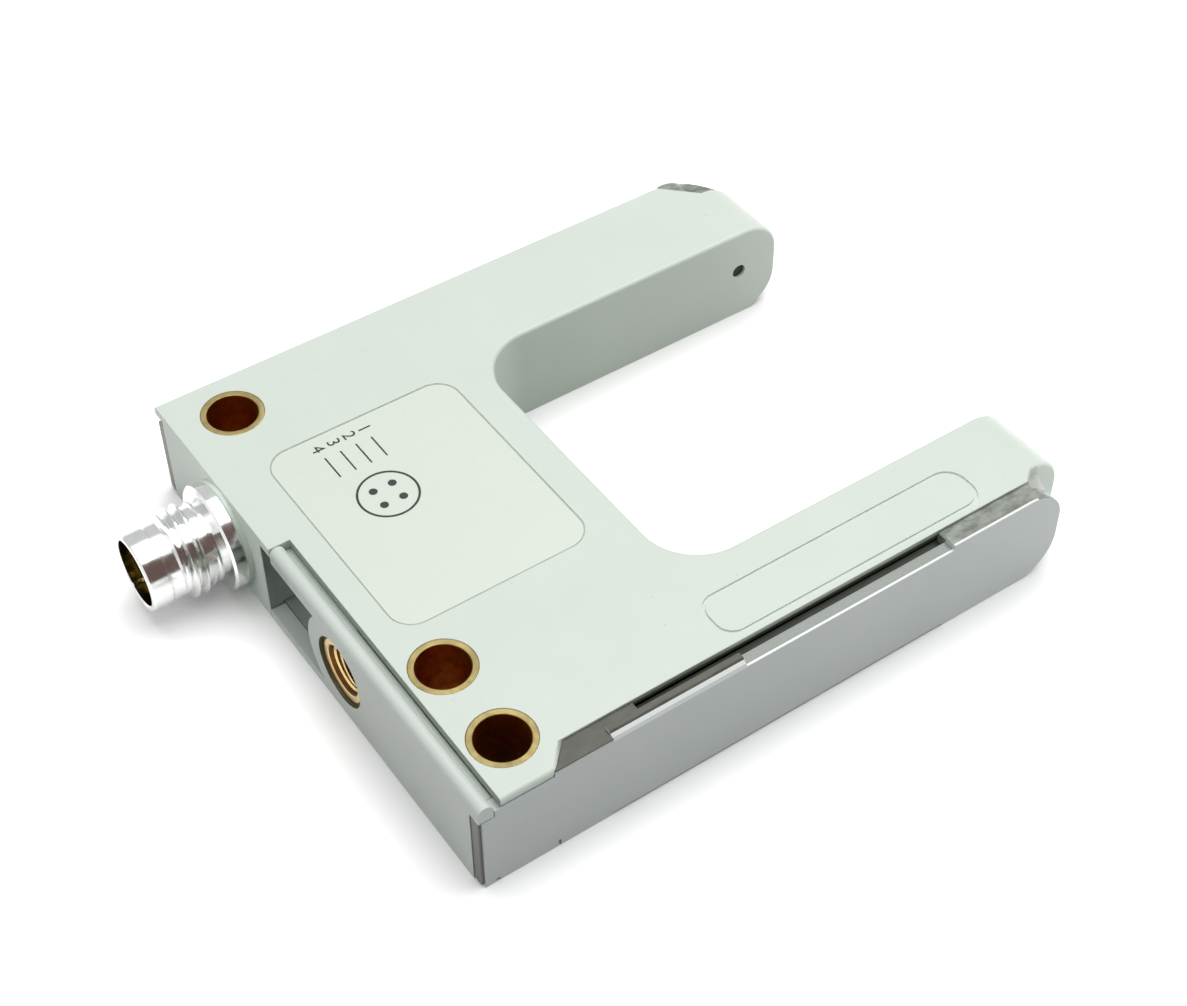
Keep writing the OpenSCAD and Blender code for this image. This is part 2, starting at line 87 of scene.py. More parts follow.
def merged_copy(node):
    """A copy of a node's mesh with its doubles merged and its flat faces joined."""
    flat = math.radians(0.5)
    bm = bmesh.new()
    bm.from_mesh(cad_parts[node].data)
    bmesh.ops.remove_doubles(bm, verts=bm.verts, dist=0.002 * MM)
    bmesh.ops.dissolve_limit(bm, angle_limit=flat, verts=bm.verts, edges=bm.edges)
    bm.normal_update()
    return bm


def round_edges(bm, chosen, width, segments=3):
    bmesh.ops.bevel(bm, geom=chosen, offset=width, offset_type="OFFSET", affect="EDGES",
                    segments=segments, profile=0.5, material=-1, clamp_overlap=True)
    bm.normal_update()


def corner_edges(bm, test=None, angle=35):
    """The outward corners of a mesh, or those of them that pass a test."""
    limit = math.radians(angle)
    return [e for e in bm.edges if e.is_manifold and e.is_convex and e.calc_face_angle(0) > limit
            and (test is None or test(e))]


def middle(edge):
    return (edge.verts[0].co + edge.verts[1].co) / 2


def add_piece(name, bm, materials, stands_for=(), smooth_angle=35, rounding=None):
    """Makes a bmesh a piece of the object; rounding is the largest width for its weighted edges."""
    limit = math.radians(smooth_angle)
    weight = bm.edges.layers.float.get(EDGE_WEIGHT)
    for face in bm.faces:
        face.smooth = True
    for edge in bm.edges:
        rounded = weight is not None and edge[weight] > 0
        edge.smooth = rounded or edge.is_manifold and edge.calc_face_angle(0) < limit
    mesh = bpy.data.meshes.new(name)
    bm.to_mesh(mesh)
    bm.free()
    piece = bpy.data.objects.new(name, mesh)
    bpy.context.scene.collection.objects.link(piece)
    for material in materials:
        mesh.materials.append(material)
    if rounding:
        bevel = piece.modifiers.new("rounded_edges", "BEVEL")
        bevel.limit_method = "WEIGHT"
        bevel.width = rounding
        bevel.segments = 4
        bevel.profile = 0.5
        bevel.use_clamp_overlap = False
    normals = piece.modifiers.new("even_shading", "WEIGHTED_NORMAL")
    normals.keep_sharp = True
    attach(piece, BODY)
    if stands_for:
        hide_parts(*stands_for)


def turned(bm, outline, centre, axis, steps=96):
    """Turns an outline of (radius, distance along the axis) pairs about an axis along Y or Z."""
    verts = [bm.verts.new(centre + Vector((r, 0, 0)) + Vector(axis) * d) for r, d in outline]
    edges = [bm.edges.new(pair) for pair in zip(verts, verts[1:] + verts[:1])]
    bmesh.ops.spin(bm, geom=verts + edges, cent=centre, axis=axis, angle=math.tau, steps=steps,
                   use_merge=True)


def add_thread(bm, axis_point, out, start, length, pitch, root_r, crest_r, foot, crest):
    """Adds a thread that rises out of its core over a quarter turn and sinks back at its end."""
    steps_per_turn = 48
    steps = int(length / pitch * steps_per_turn)
    fade = steps_per_turn // 4
    height = crest_r - root_r
    sunk = axis_point + Vector((-height, out * start, 0))
    section = [(root_r, -foot), (crest_r, -crest), (crest_r, crest), (root_r, foot)]
    verts = [bm.verts.new(sunk + Vector((r, out * d, 0))) for r, d in section]
    ring = [bm.edges.new(pair) for pair in zip(verts, verts[1:] + verts[:1])]
    bm.faces.new(verts)
    turn = Matrix.Rotation(math.tau / steps_per_turn, 3, (0, 1, 0))
    radial = Vector((1, 0, 0))
    for i in range(steps):
        grown = bmesh.ops.extrude_edge_only(bm, edges=ring)["geom"]
        verts = [g for g in grown if isinstance(g, bmesh.types.BMVert)]
        ring = [g for g in grown if isinstance(g, bmesh.types.BMEdge)
                and all(v in verts for v in g.verts)]
        bmesh.ops.rotate(bm, cent=axis_point, matrix=turn, verts=verts)
        radial = turn @ radial
        rise = 1 if i < fade else -1 if i >= steps - fade else 0
        shift = radial * (rise * height / fade) + Vector((0, out * pitch / steps_per_turn, 0))
        bmesh.ops.translate(bm, vec=shift, verts=verts)
    bmesh.ops.contextual_create(bm, geom=ring)


# Node groups for effects that several finishes share

def new_group(name, inputs, outputs):
    group = bpy.data.node_groups.new(name, "ShaderNodeTree")
    for label, kind, value in inputs:
        socket = group.interface.new_socket(label, in_out="INPUT", socket_type=kind)
        socket.default_value = value
    for label, kind in outputs:
        group.interface.new_socket(label, in_out="OUTPUT", socket_type=kind)
    return group, group.nodes.new("NodeGroupInput"), group.nodes.new("NodeGroupOutput")


def math_node(tree, operation, a, b):
    node = tree.nodes.new("ShaderNodeMath")
    node.operation = operation
    for socket, value in zip(node.inputs, (a, b)):
        if isinstance(value, (int, float)):
            socket.default_value = value
        else:
            tree.links.new(value, socket)
    return node.outputs[0]


def noise(tree, vector, scale, detail=2.0, roughness=0.5):
    node = tree.nodes.new("ShaderNodeTexNoise")
    node.inputs["Detail"].default_value = detail
    node.inputs["Roughness"].default_value = roughness
    tree.links.new(vector, node.inputs["Vector"])
    if isinstance(scale, (int, float)):
        node.inputs["Scale"].default_value = scale
    else:
        tree.links.new(scale, node.inputs["Scale"])
    return node.outputs["Fac"]


def remap(tree, value, low, high, out_low=0.0, out_high=1.0):
    node = tree.nodes.new("ShaderNodeMapRange")
    ends = {"From Min": low, "From Max": high, "To Min": out_low, "To Max": out_high}
    for label, number in ends.items():
        node.inputs[label].default_value = number
    tree.links.new(value, node.inputs["Value"])
    return node.outputs["Result"]


def moulded_skin_group():
    """Slow changes of tone, fine grain and rare specks of a moulded surface."""
    group, given, result = new_group(
        "moulded_skin",
        [("Vector", "NodeSocketVector", (0, 0, 0)), ("Grain Scale", "NodeSocketFloat", 5000.0),
         ("Speck Scale", "NodeSocketFloat", 3200.0)],
        [("Tone", "NodeSocketFloat"), ("Grain", "NodeSocketFloat"), ("Speck", "NodeSocketFloat")])
    vector = given.outputs["Vector"]
    tone = noise(group, vector, 110.0, detail=3.0, roughness=0.6)
    grain = noise(group, vector, given.outputs["Grain Scale"], detail=3.0, roughness=0.65)
    dust = noise(group, vector, given.outputs["Speck Scale"], detail=0.0)
    group.links.new(remap(group, tone, 0.3, 0.7), result.inputs["Tone"])
    group.links.new(grain, result.inputs["Grain"])
    group.links.new(remap(group, dust, 0.86, 0.92), result.inputs["Speck"])
    return group


def turned_metal_group():
    """Fine turning lines along Y and blotches of tarnish."""
    group, given, result = new_group(
        "turned_metal",
        [("Vector", "NodeSocketVector", (0, 0, 0)), ("Line Scale", "NodeSocketFloat", 9000.0),
         ("Blotch Scale", "NodeSocketFloat", 900.0)],
        [("Lines", "NodeSocketFloat"), ("Blotch", "NodeSocketFloat")])
    stretch = group.nodes.new("ShaderNodeMapping")
    stretch.inputs["Scale"].default_value = (0.02, 1, 0.02)
    group.links.new(given.outputs["Vector"], stretch.inputs["Vector"])
    lines = noise(group, stretch.outputs["Vector"], given.outputs["Line Scale"], detail=1.0)
    blotch = noise(group, given.outputs["Vector"], given.outputs["Blotch Scale"], detail=3.0,
                   roughness=0.6)
    group.links.new(lines, result.inputs["Lines"])
    group.links.new(remap(group, blotch, 0.35, 0.7), result.inputs["Blotch"])
    return group


MOULDED_SKIN = moulded_skin_group()
TURNED_METAL = turned_metal_group()


# Materials

def new_material(name):
    """An empty material with a Principled shader and the object's own coordinates."""
    material = bpy.data.materials.new(name)
    material.use_nodes = True
    tree = material.node_tree
    shader = tree.nodes["Principled BSDF"]
    vector = tree.nodes.new("ShaderNodeTexCoord").outputs["Object"]
    return material, tree, shader, vector


def place_group(tree, group, vector, **values):
    node = tree.nodes.new("ShaderNodeGroup")
    node.node_tree = group
    tree.links.new(vector, node.inputs["Vector"])
    for label, value in values.items():
        node.inputs[label.replace("_", " ")].default_value = value
    return node


def blend_colors(tree, factor, first, second):
    node = tree.nodes.new("ShaderNodeMix")
    node.data_type = "RGBA"
    tree.links.new(factor, node.inputs["Factor"])
    for label, value in (("A", first), ("B", second)):
        socket = next(s for s in node.inputs if s.name == label and s.type == "RGBA")
        if isinstance(value, tuple):
            socket.default_value = (*value, 1)
        else:
            tree.links.new(value, socket)
    return next(s for s in node.outputs if s.type == "RGBA")


def bump(tree, shader, height, distance, strength=1.0):
    node = tree.nodes.new("ShaderNodeBump")
    node.inputs["Strength"].default_value = strength
    node.inputs["Distance"].default_value = distance
    tree.links.new(height, node.inputs["Height"])
    tree.links.new(node.outputs["Normal"], shader.inputs["Normal"])


def moulded(name, color, shade, speck, roughness, grain_height, spread=0.06):
    """Satin moulded plastic: two near tones, rare specks, fine grain in relief and in gloss."""
    material, tree, shader, vector = new_material(name)
    skin = place_group(tree, MOULDED_SKIN, vector)
    tinted = blend_colors(tree, skin.outputs["Tone"], shade, color)
    color_out = blend_colors(tree, skin.outputs["Speck"], tinted, speck)
    tree.links.new(color_out, shader.inputs["Base Color"])
    gloss = remap(tree, skin.outputs["Grain"], 0.3, 0.7, roughness - spread, roughness + spread)
    tree.links.new(gloss, shader.inputs["Roughness"])
    bump(tree, shader, skin.outputs["Grain"], grain_height)
    return material


def shade_below(material, low, high, dark):
    """Paints shade into a finish below a height, as falls in a narrow gap."""
    tree = material.node_tree
    socket = tree.nodes["Principled BSDF"].inputs["Base Color"]
    color = socket.links[0].from_socket
    height = tree.nodes.new("ShaderNodeSeparateXYZ")
    tree.links.new(tree.nodes.new("ShaderNodeTexCoord").outputs["Object"], height.inputs["Vector"])
    factor = remap(tree, height.outputs["Z"], low, high)
    tree.links.new(blend_colors(tree, factor, dark, color), socket)


def turned_finish(name, color, tarnish, roughness, line_height, line_scale=9000.0):
    """Turned metal: fine lines round the axis and a little tarnish."""
    material, tree, shader, vector = new_material(name)
    shader.inputs["Metallic"].default_value = 1.0
    metal = place_group(tree, TURNED_METAL, vector, Line_Scale=line_scale)
    tarnished = blend_colors(tree, metal.outputs["Blotch"], color, tarnish)
    tree.links.new(tarnished, shader.inputs["Base Color"])
    gloss = remap(tree, metal.outputs["Blotch"], 0.0, 1.0, roughness, roughness + 0.12)
    tree.links.new(gloss, shader.inputs["Roughness"])
    bump(tree, shader, metal.outputs["Lines"], line_height)
    return material


def sealing_compound(name, color, streak, gloss):
    """Cast compound with streaks along the joint and a wavy wet surface."""
    material, tree, shader, vector = new_material(name)
    stretch = tree.nodes.new("ShaderNodeMapping")
    stretch.inputs["Scale"].default_value = (1, 0.55, 1)
    tree.links.new(vector, stretch.inputs["Vector"])
    waves = noise(tree, stretch.outputs["Vector"], 1100.0, detail=3.0, roughness=0.55)
    streaked = blend_colors(tree, remap(tree, waves, 0.35, 0.7), color, streak)
    tree.links.new(streaked, shader.inputs["Base Color"])
    tree.links.new(remap(tree, waves, 0.3, 0.7, gloss, gloss + 0.14), shader.inputs["Roughness"])
    bump(tree, shader, waves, distance=0.05 * MM)
    return material


housing_grey = moulded(
    "housing_grey_finish", color=(0.735, 0.81, 0.735), shade=(0.71, 0.785, 0.71),
    speck=(0.58, 0.63, 0.56), roughness=0.42, grain_height=0.006 * MM)
cover_grey = moulded(
    "cover_grey_finish", color=(0.7, 0.76, 0.71), shade=(0.67, 0.73, 0.68),
    speck=(0.55, 0.6, 0.56), roughness=0.38, grain_height=0.005 * MM)
cover_silver = moulded(
    "cover_silver_finish", color=(0.64, 0.69, 0.68), shade=(0.61, 0.66, 0.65),
    speck=(0.6, 0.65, 0.64), roughness=0.32, grain_height=0.0002 * MM, spread=0.01)
# Painted shade: a darker copy of the side cover's grey for the top of its edge between the tabs
painted_edge_shade = moulded(
    "cover_edge_painted_shade_finish", color=(0.33, 0.36, 0.33), shade=(0.3, 0.33, 0.3),
    speck=(0.27, 0.3, 0.28), roughness=0.3, grain_height=0.001 * MM)
# Painted highlight: a near-white line along the side cover's outer top edge
painted_edge_highlight = moulded(
    "cover_edge_painted_highlight_finish", color=(0.93, 0.96, 0.95), shade=(0.9, 0.93, 0.92),
    speck=(0.85, 0.88, 0.87), roughness=0.25, grain_height=0.0008 * MM)
# The joint's wall: a darker grey than the housing, with painted shade darkening it towards the bottom of
# the gap
shaded_joint_wall = moulded(
    "joint_wall_painted_shade_finish", color=(0.5, 0.55, 0.47), shade=(0.45, 0.5, 0.42),
    speck=(0.3, 0.33, 0.28), roughness=0.4, grain_height=0.004 * MM)
shade_below(shaded_joint_wall, low=TOP - 0.55 * MM, high=TOP - 0.3 * MM, dark=(0.07, 0.075, 0.055))
label_pale = moulded(
    "label_foil_finish", color=(0.775, 0.835, 0.745), shade=(0.765, 0.825, 0.735),
    speck=(0.7, 0.75, 0.67), roughness=0.32, grain_height=0.0008 * MM)
# Painted shade for the plate's back edge in the groove under the rear cover's lip
painted_groove_shade = moulded(
    "groove_painted_shade_finish", color=(0.36, 0.395, 0.35), shade=(0.33, 0.365, 0.32),
    speck=(0.3, 0.32, 0.29), roughness=0.4, grain_height=0.004 * MM)
# Painted shade: a darker grey for the pocket's wall and the base cover's top inside the housing
painted_inner_shade = moulded(
    "inner_face_painted_shade_finish", color=(0.4, 0.44, 0.41), shade=(0.36, 0.4, 0.37),
    speck=(0.3, 0.33, 0.3), roughness=0.45, grain_height=0.004 * MM)
seal_strip = moulded(
    "seal_strip_finish", color=(0.17, 0.165, 0.15), shade=(0.145, 0.14, 0.127),
    speck=(0.2, 0.2, 0.18), roughness=0.4, grain_height=0.002 * MM)
# Painted shade: dark brown for the wall and floor of the recess in front of the insert
painted_recess_shade = moulded(
    "recess_painted_shade_finish", color=(0.12, 0.105, 0.055), shade=(0.075, 0.063, 0.03),
    speck=(0.14, 0.12, 0.08), roughness=0.35, grain_height=0.004 * MM)
insulator_black = moulded(
    "insulator_finish", color=(0.012, 0.012, 0.012), shade=(0.02, 0.02, 0.02),
    speck=(0.05, 0.05, 0.05), roughness=0.4, grain_height=0.004 * MM)
board_green = moulded(
    "board_finish", color=(0.02, 0.12, 0.05), shade=(0.015, 0.09, 0.04),
    speck=(0.2, 0.3, 0.2), roughness=0.35, grain_height=0.003 * MM)
chip_black = moulded(
    "chip_finish", color=(0.015, 0.015, 0.016), shade=(0.02, 0.02, 0.02),
    speck=(0.06, 0.06, 0.06), roughness=0.5, grain_height=0.004 * MM)
optic_clear = moulded(
    "emitter_finish", color=(0.5, 0.52, 0.6), shade=(0.45, 0.47, 0.55),
    speck=(0.6, 0.6, 0.65), roughness=0.15, grain_height=0.001 * MM)
optic_dark = moulded(
    "receiver_finish", color=(0.03, 0.03, 0.035), shade=(0.04, 0.04, 0.045),
    speck=(0.08, 0.08, 0.08), roughness=0.15, grain_height=0.001 * MM)
window_dark = moulded(
    "window_finish", color=(0.006, 0.007, 0.006), shade=(0.008, 0.009, 0.008),
    speck=(0.02, 0.02, 0.02), roughness=0.7, grain_height=0.001 * MM)
# A grey ring just inside the label foil's edge
label_edge_grey = moulded(
    "label_line_finish", color=(0.36, 0.38, 0.33), shade=(0.33, 0.35, 0.3),
    speck=(0.4, 0.42, 0.4), roughness=0.4, grain_height=0.001 * MM)
ink_dark = moulded(
    "label_print_finish", color=(0.012, 0.014, 0.013), shade=(0.018, 0.02, 0.019),
    speck=(0.05, 0.05, 0.05), roughness=0.45, grain_height=0.001 * MM)
brass = turned_finish(
    "brass_finish", color=(0.35, 0.275, 0.12), tarnish=(0.23, 0.19, 0.08),
    roughness=0.45, line_height=0.006 * MM)
# Painted shade: dark red-brown brass for the bushes' bores
brass_bore_painted_shade = turned_finish(
    "brass_bore_painted_shade_finish", color=(0.56, 0.2, 0.014), tarnish=(0.36, 0.1, 0.008),
    roughness=0.34, line_height=0.004 * MM)
# Painted shade: dark brass for the insert's thread grooves and deep bore
insert_brass_painted_shade = turned_finish(
    "insert_brass_painted_shade_finish", color=(0.12, 0.055, 0.014), tarnish=(0.06, 0.025, 0.008),
    roughness=0.3, line_height=0.004 * MM)
brass_bright = turned_finish(
    "brass_bright_finish", color=(0.77, 0.58, 0.27), tarnish=(0.66, 0.46, 0.2),
    roughness=0.26, line_height=0.004 * MM)
# Painted glints and shade: gold-bronze with near-black blotches for the inside of the plug's socket
socket_painted_glint_and_shade = turned_finish(
    "socket_painted_glint_and_shade_finish", color=(0.34, 0.26, 0.07), tarnish=(0.03, 0.03, 0.015),
    roughness=0.14, line_height=0.002 * MM)
nickel = turned_finish(
    "nickel_finish", color=(0.86, 0.87, 0.86), tarnish=(0.8, 0.81, 0.8),
    roughness=0.09, line_height=0.0015 * MM)
gold = turned_finish(
    "gold_finish", color=(0.83, 0.6, 0.22), tarnish=(0.7, 0.5, 0.18),
    roughness=0.2, line_height=0.002 * MM)
# Painted shade: near-black compound deep in the open slot
compound_painted_shade = sealing_compound(
    "compound_painted_shade_finish", color=(0.014, 0.018, 0.01), streak=(0.024, 0.029, 0.018), gloss=0.5)
compound_dark = sealing_compound(
    "compound_dark_finish", color=(0.075, 0.08, 0.06), streak=(0.125, 0.132, 0.106), gloss=0.45)
compound_pale = sealing_compound(
    "compound_pale_finish", color=(0.16, 0.18, 0.15), streak=(0.38, 0.41, 0.36), gloss=0.14)
compound_clear = sealing_compound(
    "compound_clear_finish", color=(0.33, 0.355, 0.32), streak=(0.46, 0.49, 0.45), gloss=0.25)


# Housing and covers, with rounded edges

# Widths of rounded edges: the housing, the covers, the bushes, fine edges and the seals
EDGE_R = 0.35 * MM
SMALL_R = 0.15 * MM
BUSH_R = 0.1 * MM
FINE_R = 0.08 * MM
SEAL_R = 0.05 * MM
# Distances within which edges belong to a bush seat, a shallow recess, a window or the foot
BUSH_KEEP = 3.2 * MM
RECESS_KEEP = 0.5 * MM
WINDOW_KEEP = 1.5 * MM
FOOT_KEEP = 0.2 * MM
# The recess in front of the insert, and the most that a normal of its wall leans outwards
RECESS_R = 3.12 * MM
WALL = 0.3
bush_centres = [centre_of(node) for node in BUSHES]
window_centres = [centre_of(node) for node in ("emitter_window", "receiver_window")]


def away_from_bushes(edge):
    return all((middle(edge) - c).to_2d().length > BUSH_KEEP for c in bush_centres)


def recess_wall(face):
    """True for the low wall of a shallow recess in the top face."""
    shallow = min(v.co.z for v in face.verts) > TOP - RECESS_KEEP
    return abs(face.normal.z) < UPRIGHT and shallow


def own_outline(edge):
    """True for the outline above the foot, without seats, windows, recesses and a tip's curve."""
    spot = middle(edge)
    if not away_from_bushes(edge) or spot.z < UNDERSIDE + FOOT_KEEP:
        return False
    if any((spot - c).length < WINDOW_KEEP for c in window_centres):
        return False
    along = edge.verts[1].co - edge.verts[0].co
    if spot.y > NOSE_START and abs(along.x) > FACING * along.length:
        return False
    return not any(recess_wall(face) for face in edge.link_faces)


def edge_rounding(edge):
    """Width of an edge's rounding, which is finer along the open joint and at the back."""
    spot = middle(edge)
    fine = abs(spot.x - JOINT_X) < NEAR or spot.y < PLATE_BACK
    return FINE_R if fine else EDGE_R


def housing_finish(face):
    """1 for the open joint's wall, darker and with painted shade towards its foot; 2 for the plate's back
    edge and 3 for the pocket's wall, both painted shade.
    """
    spot = face.calc_center_median()
    if abs(spot.x - JOINT_X) < NEAR and face.normal.x > FACING:
        return 1
    if spot.y < PLATE_BACK and spot.z > TOP - PLATE_T and face.normal.y < -FACING:
        return 2
    if abs(spot.x - POCKET_X) < NEAR and spot.y < PLATE_BACK and face.normal.x > FACING:
        return 3
    return 0


def housing():
    bm = merged_copy("housing")
    weight = bm.edges.layers.float.new(EDGE_WEIGHT)
    for edge in corner_edges(bm, own_outline):
        edge[weight] = edge_rounding(edge) / EDGE_R
    for face in bm.faces:
        face.material_index = housing_finish(face)
    finishes = [housing_grey, shaded_joint_wall, painted_groove_shade, painted_inner_shade]
    add_piece("housing_shell", bm, finishes, ["housing"], rounding=EDGE_R)


housing()


def dress(node, name, finishes, test=None, width=SMALL_R, paint=None):
    """Replaces a node with a rounded copy; paint gives a face the number of its finish."""
    bm = merged_copy(node)
    round_edges(bm, corner_edges(bm, test), width)
    if paint:
        for face in bm.faces:
            face.material_index = paint(face)
    add_piece(name, bm, finishes, [node])


# Places where compound lies thinly over the side covers
REAR_TAB_START = 6.6 * MM
REAR_TAB_END = 18.7 * MM
FRONT_TAB = 39 * MM
FRONT_EDGE_END = 48 * MM
LEFT_FILM = 46.4 * MM
FILM_DEPTH = 1.2 * MM
# Least upward share of a normal on a slope, a slant, a nearly level face and a corner seal's top
SLOPE = 0.2
SLANT = 0.5
LEVEL = 0.6
CORNER_TOP = 0.7
# The level of the pocket's floor
POCKET_FLOOR = 1 * MM
# Inner borders of the painted highlight along the right cover's outer edge
PAINTED_HIGHLIGHT_X = COVER_FACE - 0.21 * MM
REAR_PAINTED_HIGHLIGHT_X = COVER_FACE - 0.45 * MM
# Numbers of the right cover's finishes
PLAIN, FILM_DARK, FILM_PALE, PAINTED_SHADE, PAINTED_HIGHLIGHT = range(5)


def right_cover_finish(face):
    """Compound on the tabs, painted shade on the edge between them and a painted highlight along the
    outer edge.
    """
    spot = face.calc_center_median()
    outer = spot.x > PAINTED_HIGHLIGHT_X
    if spot.z < TOP - FILM_DEPTH or face.normal.z < SLOPE:
        return PLAIN
    if spot.y < REAR_TAB_END:
        if outer or face.normal.z < LEVEL or spot.y < 0:
            return PLAIN
        return PAINTED_HIGHLIGHT if spot.x > REAR_PAINTED_HIGHLIGHT_X and spot.y > REAR_TAB_START else FILM_DARK
    if outer and spot.y < FRONT_EDGE_END:
        return PAINTED_HIGHLIGHT
    return PAINTED_SHADE if spot.y < FRONT_TAB else FILM_PALE


def right_cover():
    bm = merged_copy("side_cover_right")
    for x in (PAINTED_HIGHLIGHT_X, REAR_PAINTED_HIGHLIGHT_X):
        whole = bm.verts[:] + bm.edges[:] + bm.faces[:]
        bmesh.ops.bisect_plane(bm, geom=whole, plane_co=(x, 0, 0), plane_no=(1, 0, 0))
    round_edges(bm, corner_edges(bm), SMALL_R)
    for face in bm.faces:
        face.material_index = right_cover_finish(face)
    finishes = [cover_silver, compound_dark, compound_pale, painted_edge_shade, painted_edge_highlight]
    add_piece("right_cover", bm, finishes, ["side_cover_right"])


def left_cover_finish(face):
    spot = face.calc_center_median()
    return int(spot.y > LEFT_FILM and spot.z > TOP - FILM_DEPTH and face.normal.z > SLANT)


def seal_finish(face):
    return int(face.calc_center_median().y > FRONT_TAB)


def back_cover_finish(face):
    """1 for the recess in front of the insert, which is painted dark brown as its shade."""
    spots = [v.co - INSERT_AXIS for v in face.verts]
    inside = max(math.hypot(s.x, s.z) for s in spots) < RECESS_R
    deep = max(s.y for s in spots) > BACK_FACE + FINE_R
    wall = abs(face.normal.y) < WALL
    return int(inside and (wall or deep))


def pocket_rim(edge):
    """True for the edges to round: away from the bushes, and not level with the pocket's floor."""
    return away_from_bushes(edge) and abs(middle(edge).z - POCKET_FLOOR) > FINE_R


def base_finish(face):
    # Upward faces of the base cover take the painted shade of the pocket
    return int(face.normal.z > FACING)


def corner_finish(face):
    return int(face.normal.z > CORNER_TOP)


def bush_finish(node):
    centre = centre_of(node)
    bore_r = 2.17 * MM
    # Faces of the bore take the painted shade
    return lambda face: int(max((v.co - centre).to_2d().length for v in face.verts) < bore_r)


right_cover()
dress("side_cover_left", "left_cover", [cover_silver, compound_pale],
      paint=left_cover_finish)
dress("rear_cover", "back_cover", [cover_grey, painted_recess_shade], pocket_rim, FINE_R,
      paint=back_cover_finish)
dress("bottom_cover", "base_cover", [cover_grey, painted_inner_shade], pocket_rim,
      paint=base_finish)
for node in BUSHES:
    dress(node, node.replace("mount_", "") + "_ring", [brass, brass_bore_painted_shade], width=BUSH_R,
          paint=bush_finish(node))
for i in range(1, 5):
    dress(f"contact_{i}", f"pin_{i}", [gold])
dress("joint_seal", "joint_compound", [compound_dark, compound_pale], width=FINE_R,
      paint=seal_finish)
dress("tip_seal_left", "tip_compound_left", [compound_pale], width=SEAL_R)
for node in ("corner_seal_right", "corner_seal_left"):
    dress(node, node.replace("seal", "compound"), [seal_strip, cover_grey], width=SEAL_R,
          paint=corner_finish)


# Compound deep in the open joint's slot, near-black as painted shade, and compound that climbs the walls
# of both tips

def slot_meniscus():
    """A skin of compound along the open slot, near-black as painted shade."""
    bm = bmesh.new()
    foot = TOP - 2.6 * MM
    at_cover = TOP - 1.15 * MM
    at_plate = TOP - 1.05 * MM
    start = REAR_TAB_START + 3 * MM
    section = [(JOINT_X, foot), (COVER_X, foot), (COVER_X, at_cover), (JOINT_X, at_plate)]
    face = bm.faces.new([bm.verts.new((x, start, z)) for x, z in section])
    grown = bmesh.ops.extrude_face_region(bm, geom=[face])["geom"]
    ends = [g for g in grown if isinstance(g, bmesh.types.BMVert)]
    bmesh.ops.translate(bm, vec=(0, FRONT_TAB - start, 0), verts=ends)
    bmesh.ops.recalc_face_normals(bm, faces=bm.faces)
    add_piece("slot_compound_painted_shade", bm, [compound_painted_shade])


def tip_fillet(name, side, outer_x, climb, power, height, finish):
    """Compound that follows the side cover's nose and climbs the wall of an arm's tip up to a height."""
    bm = bmesh.new()
    wall_x = 22.05 * MM
    cover_r = 3.7 * MM
    arc_r = cover_r - 0.02 * MM
    root_r = arc_r - 1 * MM
    # Angles from upright where the fillet begins, thins out and ends
    first = math.radians(5)
    fade = math.radians(50)
    last = math.radians(82)
    centre = Vector((0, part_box("side_cover_right")[1].y - cover_r, TOP - cover_r))
    steps = 6
    reach = outer_x - wall_x
    skin = [(wall_x + reach * (1 - i / steps), arc_r + climb * (i / steps) ** power)
            for i in range(steps + 1)]
    section = [(wall_x, root_r), (wall_x + reach, root_r)] + skin
    outward = Vector((0, math.sin(first), math.cos(first)))
    corners = [centre + Vector((side * x, 0, 0)) + outward * r for x, r in section]
    face = bm.faces.new([bm.verts.new(corner) for corner in corners])
    bmesh.ops.spin(bm, geom=[face], cent=centre, axis=(-1, 0, 0), angle=last - first, steps=28)
    bmesh.ops.remove_doubles(bm, verts=bm.verts, dist=0.001 * MM)
    for vert in bm.verts:
        spoke = Vector((0, vert.co.y, vert.co.z)) - centre
        run = max(0, (math.atan2(spoke.y, spoke.z) - fade) / (last - fade))
        proud = max(0, spoke.length - arc_r)
        vert.co -= spoke.normalized() * proud * run * run
    whole = bm.verts[:] + bm.edges[:] + bm.faces[:]
    bmesh.ops.bisect_plane(bm, geom=whole, plane_co=(0, 0, height), plane_no=(0, 0, 1), clear_outer=True)
    bmesh.ops.holes_fill(bm, edges=[e for e in bm.edges if e.is_boundary])
    bmesh.ops.recalc_face_normals(bm, faces=bm.faces)
    add_piece(name, bm, [finish])


slot_meniscus()
tip_fillet("tip_compound", side=1, outer_x=COVER_X - 0.01 * MM, climb=1.1 * MM, power=2,
           height=TOP - 0.27 * MM, finish=compound_clear)
tip_fillet("left_tip_fill", side=-1, outer_x=24.8 * MM, climb=1.7 * MM, power=0.75,
           height=TOP - 0.65 * MM, finish=compound_pale)


# Label foil with a grey line along its edge, pin numbers and a plain view of the plug's face

FOIL_TOP = TOP - 0.03 * MM
PRINT_T = 0.012 * MM


def add_number(bm, number, size, place):
    """Adds a printed number that reads along X."""
    curve = bpy.data.curves.new("pin_number", "FONT")
    curve.body = str(number)
    curve.size = size
    curve.extrude = PRINT_T / 2
    curve.align_x = "CENTER"
    curve.align_y = "CENTER"
    text = bpy.data.objects.new("pin_number", curve)
    bpy.context.scene.collection.objects.link(text)
    depsgraph = bpy.context.evaluated_depsgraph_get()
    mesh = bpy.data.meshes.new_from_object(text.evaluated_get(depsgraph))
    old = set(bm.verts)
    bm.from_mesh(mesh)
    bmesh.ops.translate(bm, vec=place, verts=[v for v in bm.verts if v not in old])
    bpy.data.objects.remove(text)
    bpy.data.curves.remove(curve)
    bpy.data.meshes.remove(mesh)


